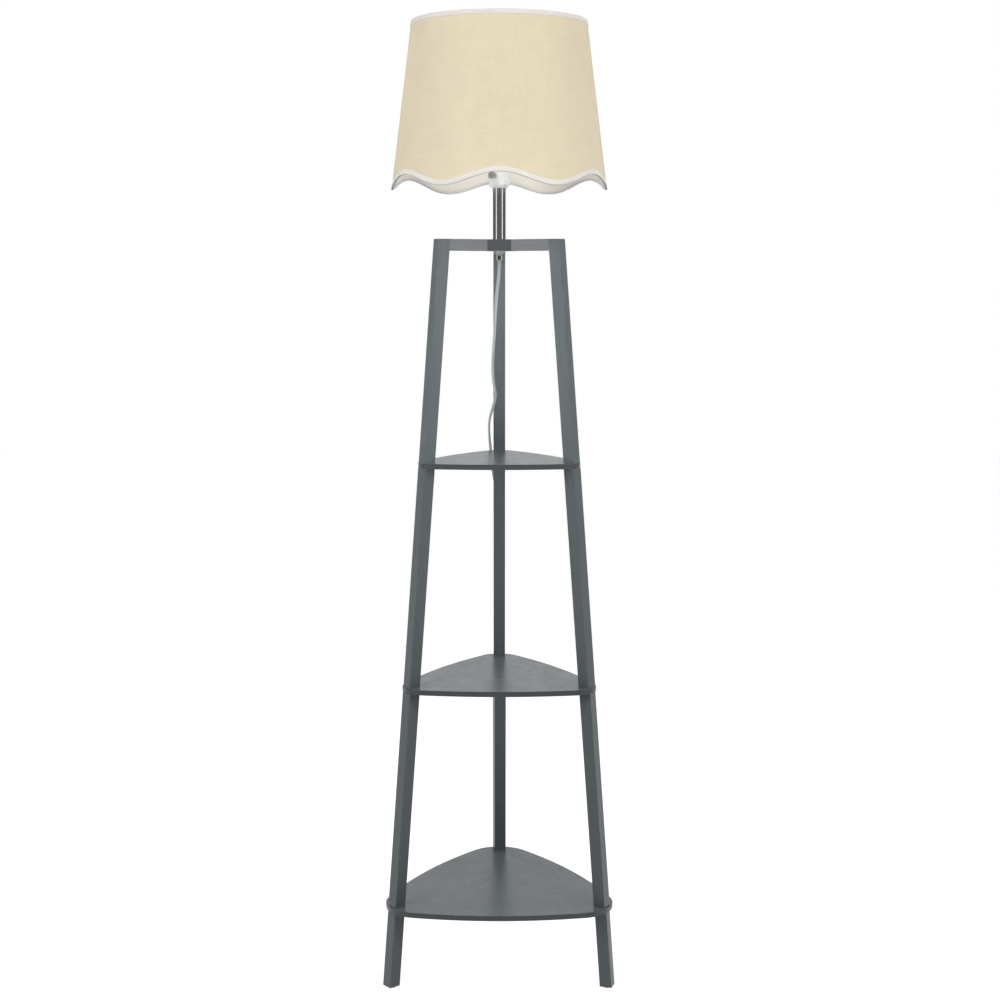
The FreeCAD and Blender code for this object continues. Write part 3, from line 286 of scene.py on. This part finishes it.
MATERIALS = {
    "leg_paint": paint("leg_paint", (420, 420, 9)),
    "shelf_paint": paint("shelf_paint", (60, 60, 60), grain=0.12, rim_shade_color=RIM_SHADE, rough=0.32),
    "hub_paint": paint("hub_paint", (260, 260, 40), grain=0.6, color=HUB_PAINT_SHADED, edge_wear_or_shade_color=ARRIS_SHADE),
    "arm_paint_left": paint("arm_paint_left", (9, 420, 420), -210, 1.4, ARM_PAINT_LIT, edge_wear_or_shade_color=ARRIS_SHADE),
    "arm_paint_right": paint("arm_paint_right", (9, 420, 420), -330, 1.4, ARM_PAINT_LIT, edge_wear_or_shade_color=ARRIS_SHADE),
    "arm_paint_rear": paint("arm_paint_rear", (9, 420, 420), -90, 1.4, ARM_PAINT_LIT, edge_wear_or_shade_color=ARRIS_SHADE),
    "bare_wood": bare_wood("bare_wood"),
    "chrome": metal("chrome", (0.56, 0.57, 0.585), 0.14, 0.006, 0.0),
    "nickel": metal("nickel", (0.92, 0.93, 0.93), 0.28, 0.05),
    "zinc": metal("zinc", (0.50, 0.50, 0.52), 0.34, 0.10),
    "brass": metal("brass", (0.72, 0.52, 0.22), 0.28, 0.08),
    "white_plastic": plastic("white_plastic", (0.88, 0.90, 0.87), 0.28, Coat_Weight=0.2),
    "black_plastic": plastic("black_plastic", (0.02, 0.02, 0.022), 0.45, 0.00004),
    "insulator": plastic("insulator", (0.16, 0.11, 0.08), 0.5, 0.00005),
    "grip_plastic": grip_plastic("grip_plastic"),
    "clear_plastic": plastic("clear_plastic", (0.78, 0.78, 0.76), 0.22, Transmission_Weight=0.45, IOR=1.49),
    "cord_skin": plastic("cord_skin", (0.50, 0.54, 0.55), 0.2, Transmission_Weight=0.2, Coat_Weight=0.6),
    "opal": plastic("opal", (0.86, 0.86, 0.83), 0.16, Subsurface_Weight=0.3),
    "shade_cloth": cloth("shade_cloth", (0.74, 0.652, 0.472), 0.0011, 0.035, 0.0002, sheer=0.9),
    "shade_backing": cloth("shade_backing", (0.95, 0.90, 0.80), 0.0016, 0.01, 0.00004, 0.05, sheer=0.9),
    "trim_cloth": cloth("trim_cloth", TRIM, 0.0007, 0.015, 0.00008, sheer=0.8),
    # The hem tape carries a painted shade line along its lower fold
    "hem_cloth": cloth("hem_cloth", TRIM, 0.0007, 0.015, 0.00008, sheer=0.8, fold_shade_width=0.0011),
    "felt": cloth("felt", (0.05, 0.048, 0.045), 0.0005, 0.2, 0.0002, 0.5),
}

# Cord: the route of the solid tube, then the put-away coil and the way into the plug

ROUTE = (
    (0, 0, 1212.8),
    (0, 0, 1192),
    (-3.8, 3, 1163),
    (-6.2, 10, 1131),
    (-7.4, 21, 1098),
    (-10, 36, 1064),
    (-11.8, 53, 1031),
    (-9.6, 70, 1003),
    (-5.2, 82, 984),
    (-10.5, 97, 963),
    (-18, 117, 938),
    (-18.2, 139, 914),
    (-15.5, 155, 885),
    (-12.8, 161, 850),
    (-6, 162.5, 818),
    (-0.5, 164.3, 787),
    (0.6, 168.5, 735),
    (1.2, 174, 665),
    (0.4, 180.6, 587),
    (0.8, 189.5, 510),
    (-1.4, 196.5, 425),
    (-3.6, 202, 340),
    (-3.2, 210.5, 262),
    (-1.4, 217.5, 185),
    (0.6, 224, 120),
    (1.2, 227.5, 74),
    (0.9, 230.5, 44),
    (0.6, 238, 20),
    (0.3, 252, 6),
    (0, 273, 2.8),
    (0.2, 294, 2.8),
    (0, 314, 2.8),
)
CORD_WIDTH = 5.6
CORD_THICKNESS = 3.1
COIL_CENTRE = Vector((33.8, 314, 0))
COIL_TURNS = ((33.8, 2.8), (28.2, 2.8), (28.2, 8.4), (33.8, 8.4), (33.8, 14.0), (28.2, 14.0))
TURN_STEPS = 16
LAST_STEPS = 12
RISE_FROM = 0.7  # share of a turn after which it moves over to the next one
PLUG_ANGLE = 20
PLUG_FORWARD = 14
PLUG_ASIDE = 26
PLUG_HEIGHT = 23.8
PLUG_TAIL = 28
LIFT = 3.4
LIFT_FROM = 8
LIFT_STEPS = 4
WAY_RADIUS = 26.5
WAY_ANGLES = (228.9, 203.7, 178.5, 153.3, 128.1, 102.9)
WAY_LEAVE = (-35.1, -52.0)
WAY_INSIDE = 1.6
WAY_LOW = 18.6


def coil_points():
    """Clockwise turns seen from above, entered along the tangent on the left side."""
    points = []
    last = len(COIL_TURNS) - 1
    reach = 1 / math.cos(math.pi / TURN_STEPS)
    for number, (radius, height) in enumerate(COIL_TURNS):
        following = COIL_TURNS[min(number + 1, last)]
        for step in range(1, (LAST_STEPS if number == last else TURN_STEPS) + 1):
            share = smoothstep((step / TURN_STEPS - RISE_FROM) / 0.3)
            here = radius + (following[0] - radius) * share
            level = height + (following[1] - height) * share
            if number == last:
                level += LIFT * smoothstep((step - LIFT_FROM) / LIFT_STEPS)
            points.append(COIL_CENTRE + polar(here * reach ** 0.5, 180 - 360 * step / TURN_STEPS, level))
    return points


def plug_frame():
    turn = Matrix.Rotation(math.radians(PLUG_ANGLE), 4, "Z")
    place = COIL_CENTRE + turn.to_3x3() @ Vector((PLUG_FORWARD, PLUG_ASIDE, 0))
    return Matrix.Translation(place) @ turn


def way_points():
    """Off the coil along its tangent, then one wide bend into line with the plug's tail."""
    bend = Vector((-PLUG_TAIL, -WAY_RADIUS, 0))
    points = [Vector((*WAY_LEAVE, 0))] + [bend + polar(WAY_RADIUS, angle) for angle in WAY_ANGLES]
    points.append(Vector((-PLUG_TAIL + WAY_INSIDE, 0, 0)))
    for step, point in enumerate(points):
        point.z = WAY_LOW + (PLUG_HEIGHT - WAY_LOW) * smoothstep(step / (len(points) - 1))
    return [plug_frame() @ point for point in points]


def cord_controls():
    return [Vector(point) for point in ROUTE] + coil_points() + way_points()


def nurbs_line(points):
    """Points read from the smooth spline through the route."""
    curve = bpy.data.curves.new("cord_line", "CURVE")
    curve.dimensions = "3D"
    curve.resolution_u = 8
    spline = curve.splines.new("NURBS")
    spline.points.add(len(points) - 1)
    for target, point in zip(spline.points, points):
        target.co = (*(point * MM), 1)
    spline.order_u = 3
    spline.use_endpoint_u = True
    holder = link(bpy.data.objects.new("cord_line", curve))
    bpy.context.view_layer.update()
    line = bpy.data.meshes.new_from_object(holder)
    found = [vertex.co.copy() for vertex in line.vertices]
    bpy.data.objects.remove(holder)
    bpy.data.meshes.remove(line)
    return found


SECTION_POINTS = 24
SECTION_ROUND = 0.015  # metres round the cord, for its UVs
WAIST_DEPTH = 0.24
WAIST_WIDTH = 0.75
FULLNESS = 0.72


def twin_section():
    """The flat cord's outline: two cores side by side under one skin."""
    outline = []
    for step in range(SECTION_POINTS):
        angle = math.tau * step / SECTION_POINTS
        x = math.cos(angle) * CORD_WIDTH / 2
        waist = 1 - WAIST_DEPTH * math.exp(-((x / WAIST_WIDTH) ** 2))
        rise = math.copysign(abs(math.sin(angle)) ** FULLNESS, math.sin(angle))
        y = rise * CORD_THICKNESS / 2 * waist
        outline.append((x * MM, y * MM))
    return outline


# Distance along the cord in metres, and its twist there in degrees
CORD_TWIST = (
    (0, 8), (0.05, 12), (0.11, 52), (0.2, 35), (0.3, 62), (0.42, 20), (0.6, 0), (0.95, 0), (1.2, 60), (1.32, 90),
)


def twist_at(distance):
    for (low, start), (high, end) in zip(CORD_TWIST, CORD_TWIST[1:]):
        if distance < high:
            return math.radians(start + (end - start) * smoothstep((distance - low) / (high - low)))
    return math.radians(CORD_TWIST[-1][1])


def tube_faces(rows, count, first=0):
    """The faces of a closed tube: rows of count vertices each, and a cap at both ends."""
    faces = []
    for row in range(rows - 1):
        for number in range(count):
            following = (number + 1) % count
            start = first + row * count
            above = start + count
            faces.append((start + number, start + following, above + following, above + number))
    last = first + (rows - 1) * count
    faces.append(tuple(range(first + count - 1, first - 1, -1)))
    faces.append(tuple(range(last, last + count)))
    return faces


def swept(name, path, section):
    """The section carried along the path without roll, then given the cord's own twist."""
    verts = []
    uvs = []
    side = Vector((1, 0, 0))
    travelled = 0.0
    for index, point in enumerate(path):
        before = path[max(index - 1, 0)]
        after = path[min(index + 1, len(path) - 1)]
        travelled += (point - before).length
        tangent = (after - before).normalized()
        side = (side - tangent * side.dot(tangent)).normalized()
        other = tangent.cross(side)
        turn = twist_at(travelled)
        wide = side * math.cos(turn) + other * math.sin(turn)
        thin = tangent.cross(wide)
        for number, (x, y) in enumerate(section):
            verts.append(point + wide * x + thin * y)
            uvs.append((number / len(section) * SECTION_ROUND, travelled))
    return mesh_object(name, verts, tube_faces(len(path), len(section)), uvs), travelled


# Plug and foot pads

# Distance along the plug, half its width, half its height, and how square the oval is
PLUG_STATIONS = (
    (-28.0, 3.0, 2.3, 2.0),
    (-27.4, 3.5, 2.8, 2.0),
    (-25.6, 3.6, 2.9, 2.0),
    (-25.2, 4.0, 3.3, 2.0),
    (-23.4, 4.1, 3.4, 2.0),
    (-23.0, 3.7, 3.0, 2.0),
    (-21.6, 3.9, 3.2, 2.0),
    (-21.2, 4.4, 3.7, 2.0),
    (-19.4, 4.5, 3.8, 2.0),
    (-19.0, 4.1, 3.4, 2.0),
    (-17.6, 4.4, 3.7, 2.1),
    (-16.6, 5.6, 4.6, 2.4),
    (-14.0, 8.0, 5.8, 2.8),
    (-10.0, 10.2, 6.6, 3.2),
    (-4.0, 10.9, 6.9, 3.6),
    (3.0, 10.3, 6.8, 3.6),
    (9.0, 10.6, 6.9, 3.8),
    (14.0, 11.0, 7.0, 4.2),
    (16.2, 10.8, 6.8, 4.2),
    (17.0, 10.0, 6.1, 4.0),
)
PLUG_SIDES = 40
PLUG_ROUND = 0.05  # metres round the plug, for its UVs


def oval_point(width, height, power, angle):
    cosine = math.cos(angle)
    sine = math.sin(angle)
    across = math.copysign(abs(cosine) ** (2 / power), cosine) * width
    upward = math.copysign(abs(sine) ** (2 / power), sine) * height
    return across, upward


def plug_mesh():
    """The moulded plug: a ribbed tail that widens into a flat grip."""
    place = plug_frame()
    verts = []
    uvs = []
    for x, width, height, power in PLUG_STATIONS:
        for side in range(PLUG_SIDES):
            across, upward = oval_point(width, height, power, math.tau * side / PLUG_SIDES)
            verts.append(place @ Vector((x, across, PLUG_HEIGHT + upward)) * MM)
            uvs.append((x * MM, side / PLUG_SIDES * PLUG_ROUND))
    return mesh_object("plug_grip", verts, tube_faces(len(PLUG_STATIONS), PLUG_SIDES), uvs)


PAD_PROFILE = ((7.0, 0.0), (7.6, 0.08), (7.92, 0.4), (8.0, 1.0), (7.9, 1.6), (7.7, 2.0))
PAD_SIDES = 48
PAD_FUZZ = 0.12
PAD_LIMIT = 8.1
FOOT_ANGLES = (210, 330, 90)
FOOT_REACH = 209.84


def pad_mesh():
    """Three felt discs with softly rounded, slightly uneven edges."""
    verts = []
    uvs = []
    faces = []
    for angle in FOOT_ANGLES:
        centre = polar(FOOT_REACH, angle)
        first = len(verts)
        for radius, height in PAD_PROFILE:
            for side in range(PAD_SIDES):
                turn = 360 * side / PAD_SIDES
                fuzz = noise.noise(polar(3.0, turn, height)) * PAD_FUZZ
                point = centre + polar(min(radius + fuzz, PAD_LIMIT), turn, height)
                verts.append(point * MM)
                uvs.append((point.x * MM, point.y * MM))
        faces += tube_faces(len(PAD_PROFILE), PAD_SIDES, first)
    return mesh_object("felt_pads", verts, faces, uvs)


plug = dress(plug_mesh(), MATERIALS["clear_plastic"], "plug_body", slot="clear_plastic")
dress(pad_mesh(), MATERIALS["felt"], "foot_pads", slot="pad_felt")

cord_path = nurbs_line(cord_controls())
cord, cord_length = swept("cord_flex", cord_path, twin_section())
print("cord length", round(cord_length, 4))
dress(cord, MATERIALS["cord_skin"], "cord", "cord_coil", slot="silver_cord")

# Shade

SHADE_TOP = 1598
SHADE_LOW = 1328
SHADE_TOP_RADIUS = 143.7
SHADE_LOW_RADIUS = 177.4
TAPER = (SHADE_LOW_RADIUS - SHADE_TOP_RADIUS) / (SHADE_TOP - SHADE_LOW)
HEM_MIDDLE = 1338
WAVE = 10
WAVES = 6
SEAM_ANGLE = 119
SEAM_HALF = 1.8
AROUND = 360
ROWS = 30
UV_RADIUS = 0.160  # one radius for all UVs round the shade
WELD = 0.00001
FOLD_INSIDE = 0.8  # the tapes' folds reach this far past the cloth's edges
RIPPLE = 0.35
LAP = 0.35


def shade_radius(height):
    return SHADE_TOP_RADIUS + TAPER * (SHADE_TOP - height)


def hem(angle):
    return HEM_MIDDLE + WAVE * math.cos(math.radians(WAVES * (angle - 270)))


def ring_mesh(name, section):
    """A closed ring round the stem from a section of (radius, height, distance along the cloth)."""
    verts = []
    uvs = []
    for step in range(AROUND + 1):
        angle = 360 * step / AROUND
        for radius, height, along in section(angle):
            verts.append(polar(radius * MM, angle, height * MM))
            uvs.append((math.radians(angle) * UV_RADIUS, along * MM))
    count = len(verts) // (AROUND + 1)
    faces = []
    for step in range(AROUND):
        for number in range(count):
            following = (number + 1) % count
            start = step * count
            faces.append((start + number, start + count + number, start + count + following, start + following))
    ring = mesh_object(name, verts, faces, uvs)
    builder = bmesh.new()
    builder.from_mesh(ring.data)
    bmesh.ops.remove_doubles(builder, verts=builder.verts, dist=WELD)
    bmesh.ops.recalc_face_normals(builder, faces=builder.faces)
    builder.to_mesh(ring.data)
    builder.free()
    return ring


def ripple(angle, height, depth):
    spot = polar(2.6, angle, height / 90)
    return noise.noise(spot) * depth


def overlap(angle):
    """1 on the strip where the cloth's two ends lie on each other."""
    return 1.0 if abs(angle - SEAM_ANGLE) < SEAM_HALF else 0.0


def skin(outer, inner, ripple_depth, lap):
    """A layer of the shade between two offsets from its cone."""

    def section(angle):
        low = hem(angle) + FOLD_INSIDE
        points = []
        for row in range(ROWS + 1):
            height = low + (SHADE_TOP - low) * row / ROWS
            swell = ripple(angle, height, ripple_depth) + lap * overlap(angle)
            points.append((shade_radius(height) + outer + swell, height, height))
        for row in range(ROWS, -1, -1):
            height = low + (SHADE_TOP - low) * row / ROWS
            points.append((shade_radius(height) + inner, height, height))
        return points

    return section


def tape(profile, edge):
    """A folded tape along an edge of the shade, from (offset, distance from the edge) pairs."""

    def section(angle):
        base, sign = edge(angle)
        points = []
        for offset, distance in profile:
            height = base + sign * distance
            points.append((shade_radius(height) + offset, height, distance))
        return points

    return section


HEM_PROFILE = (
    (0.06, 8.3), (0.5, 8.25), (0.76, 7.9), (0.8, 7.2), (0.8, 4.0), (0.8, 1.3), (0.62, 0.5), (0.15, 0.08),
    (-0.8, 0.0), (-1.75, 0.08), (-2.22, 0.5), (-2.4, 1.3), (-2.4, 2.4), (-2.4, 3.4), (-2.36, 4.0), (-2.1, 4.35),
    (-1.66, 4.4), (-1.6, 0.9), (0.0, 0.9),
)
TOP_PROFILE = (
    (0.06, 7.6), (0.5, 7.55), (0.76, 7.2), (0.8, 6.5), (0.8, 3.6), (0.8, 1.2), (0.62, 0.5), (0.15, 0.08),
    (-0.8, 0.0), (-1.75, 0.08), (-2.22, 0.5), (-2.4, 1.2), (-2.4, 3.6), (-2.4, 6.5), (-2.36, 7.2), (-2.1, 7.55),
    (-1.66, 7.6), (-1.6, 0.9), (0.0, 0.9),
)

shade_cloth = ring_mesh("shade_cloth", skin(0.0, -1.0, RIPPLE, LAP))
dress(shade_cloth, MATERIALS["shade_cloth"], "shade_shell", slot="shade_cloth")
shade_backing = ring_mesh("shade_backing", skin(-1.0, -1.6, 0.0, 0.0))
dress(shade_backing, MATERIALS["shade_backing"], "shade_lining", slot="shade_backing")
hem_tape = ring_mesh("hem_tape", tape(HEM_PROFILE, lambda angle: (hem(angle), 1)))
dress(hem_tape, MATERIALS["hem_cloth"], "shade_trim_low", slot="trim_cloth")
rim_tape = ring_mesh("rim_tape", tape(TOP_PROFILE, lambda angle: (SHADE_TOP + FOLD_INSIDE, -1)))
dress(rim_tape, MATERIALS["trim_cloth"], "shade_trim_top", slot="trim_cloth")

# Solids that stay: each gets its material

NODE_MATERIALS = {
    "shelf_paint": ("shelf_high", "shelf_middle", "shelf_low"),
    "hub_paint": ("hub",),
    "arm_paint_left": ("arm_left",),
    "arm_paint_right": ("arm_right",),
    "arm_paint_rear": ("arm_rear",),
    "bare_wood": ("arm_dowels",),
    "chrome": ("stem_tube", "knob", "shade_ring_nut"),
    "nickel": ("stem_washer", "stem_nut"),
    "zinc": (
        "joint_studs", "clip_screws", "stem_rod", "cap_screw", "knob_shaft", "bulb_screw_cap", "shade_frame",
        "shade_top_ring",
    ),
    "brass": ("joint_inserts", "terminal_screws", "screw_shell", "centre_contact", "bulb_tip", "plug_blades"),
    "white_plastic": ("holder_cap", "holder_body", "bulb_collar"),
    "black_plastic": ("grip_wedge", "switch_cam"),
    "insulator": ("switch_block", "bulb_insulator", "bulb_led_board"),
    "grip_plastic": ("cord_grip",),
    "clear_plastic": ("cord_clips",),
    "cord_skin": ("cord_inner",),
    "opal": ("bulb_globe",),
}
for name, owners in NODE_MATERIALS.items():
    for owner in owners:
        nodes[owner].data.materials.clear()
        nodes[owner].data.materials.append(MATERIALS[name])
for owner, node in nodes.items():
    if owner.startswith("leg_"):
        node.data.materials.clear()
        node.data.materials.append(MATERIALS["leg_paint"])

# Floor, world and lights

FLOOR_HALF = 9
FLOOR_GLOW = 0.91

floor_shader = Shader("floor_white", (0.36, 0.36, 0.36), 0.9)
light_path = floor_shader.add("ShaderNodeLightPath").outputs
seen = floor_shader.math("MAXIMUM", light_path["Is Camera Ray"], light_path["Is Glossy Ray"])
seen = floor_shader.math("MAXIMUM", seen, light_path["Is Transmission Ray"])
floor_shader.surface.inputs["Emission Color"].default_value = (1, 1, 1, 1)
glow = floor_shader.math("MULTIPLY", seen, FLOOR_GLOW)
floor_shader.tree.links.new(glow, floor_shader.surface.inputs["Emission Strength"])
corners = [(x * FLOOR_HALF, y * FLOOR_HALF, 0) for x, y in ((-1, -1), (1, -1), (1, 1), (-1, 1))]
floor = mesh_object("floor", corners, [(0, 1, 2, 3)], smooth=False)
floor.data.materials.append(floor_shader.material)


def make_world(ambient):
    """White where the camera looks, a dimmer room on the front side of metal, soft light elsewhere."""
    world = bpy.data.worlds.new("studio")
    bpy.context.scene.world = world
    world.use_nodes = True
    tree = world.node_tree
    background = tree.nodes["Background"]
    background.inputs["Color"].default_value = (1, 1, 1, 1)
    path = tree.nodes.new("ShaderNodeLightPath").outputs
    way = tree.nodes.new("ShaderNodeTexCoord").outputs["Generated"]
    parts = tree.nodes.new("ShaderNodeSeparateXYZ")
    tree.links.new(way, parts.inputs[0])
    room = tree.nodes.new("ShaderNodeMapRange")
    for socket, value in (("From Min", 0.75), ("From Max", 0.99), ("To Min", 0.16), ("To Max", 1.0)):
        room.inputs[socket].default_value = value
    tree.links.new(parts.outputs["Y"], room.inputs["Value"])
    mirrored = tree.nodes.new("ShaderNodeMath")
    mirrored.operation = "MAXIMUM"
    tree.links.new(path["Is Glossy Ray"], mirrored.inputs[0])
    tree.links.new(path["Is Transmission Ray"], mirrored.inputs[1])
    inner = tree.nodes.new("ShaderNodeMix")
    inner.inputs["A"].default_value = ambient
    tree.links.new(mirrored.outputs[0], inner.inputs["Factor"])
    tree.links.new(room.outputs[0], inner.inputs["B"])
    outer = tree.nodes.new("ShaderNodeMix")
    outer.inputs["B"].default_value = 1.0
    tree.links.new(path["Is Camera Ray"], outer.inputs["Factor"])
    tree.links.new(inner.outputs[0], outer.inputs["A"])
    tree.links.new(outer.outputs[0], background.inputs["Strength"])


def softbox(name, place, target, size, power, mirrored=True, spread=180):
    """A rectangular lamp turned to its target. Only a mirrored one shows in metal."""
    data = bpy.data.lights.new(name, "AREA")
    data.shape = "RECTANGLE"
    data.size, data.size_y = size
    data.energy = power
    data.spread = math.radians(spread)
    lamp = link(bpy.data.objects.new(name, data))
    lamp.location = place
    lamp.visible_glossy = mirrored
    lamp.rotation_euler = (Vector(target) - Vector(place)).to_track_quat("-Z", "Y").to_euler()


make_world(ambient=0.22)
for side, mark in ((-1, "left"), (1, "right")):
    softbox(f"streak_{mark}", (side * 1.27, -0.91, 1.25), (0, 0, 1.25), (0.36, 1.1), 2.2)
    softbox(f"near_{mark}", (side * 1.25, -0.9, 1.25), (0, 0, 1.25), (0.55, 0.7), 3, mirrored=False)
    softbox(f"side_{mark}", (side * 1.7, -0.1, 1.4), (0, 0, 1.2), (0.6, 1.0), 5.0, mirrored=False)
    softbox(f"high_{mark}", (side * 0.75, -1.0, 2.1), (0, 0, 1.5), (0.5, 0.5), 7.8, mirrored=False)
    softbox(f"back_{mark}", (side * 1.3, 1.5, 1.5), (0, 0, 1.1), (0.8, 1.2), 10, mirrored=False)
softbox("under", (0, -2.3, 0.5), (0, 0.1, 1.22), (0.4, 0.3), 0.5, mirrored=False, spread=36)
softbox("stand_top", (0, -2.4, 1.0), (0, 0, 1.12), (0.3, 0.2), 0.09, mirrored=False, spread=14)
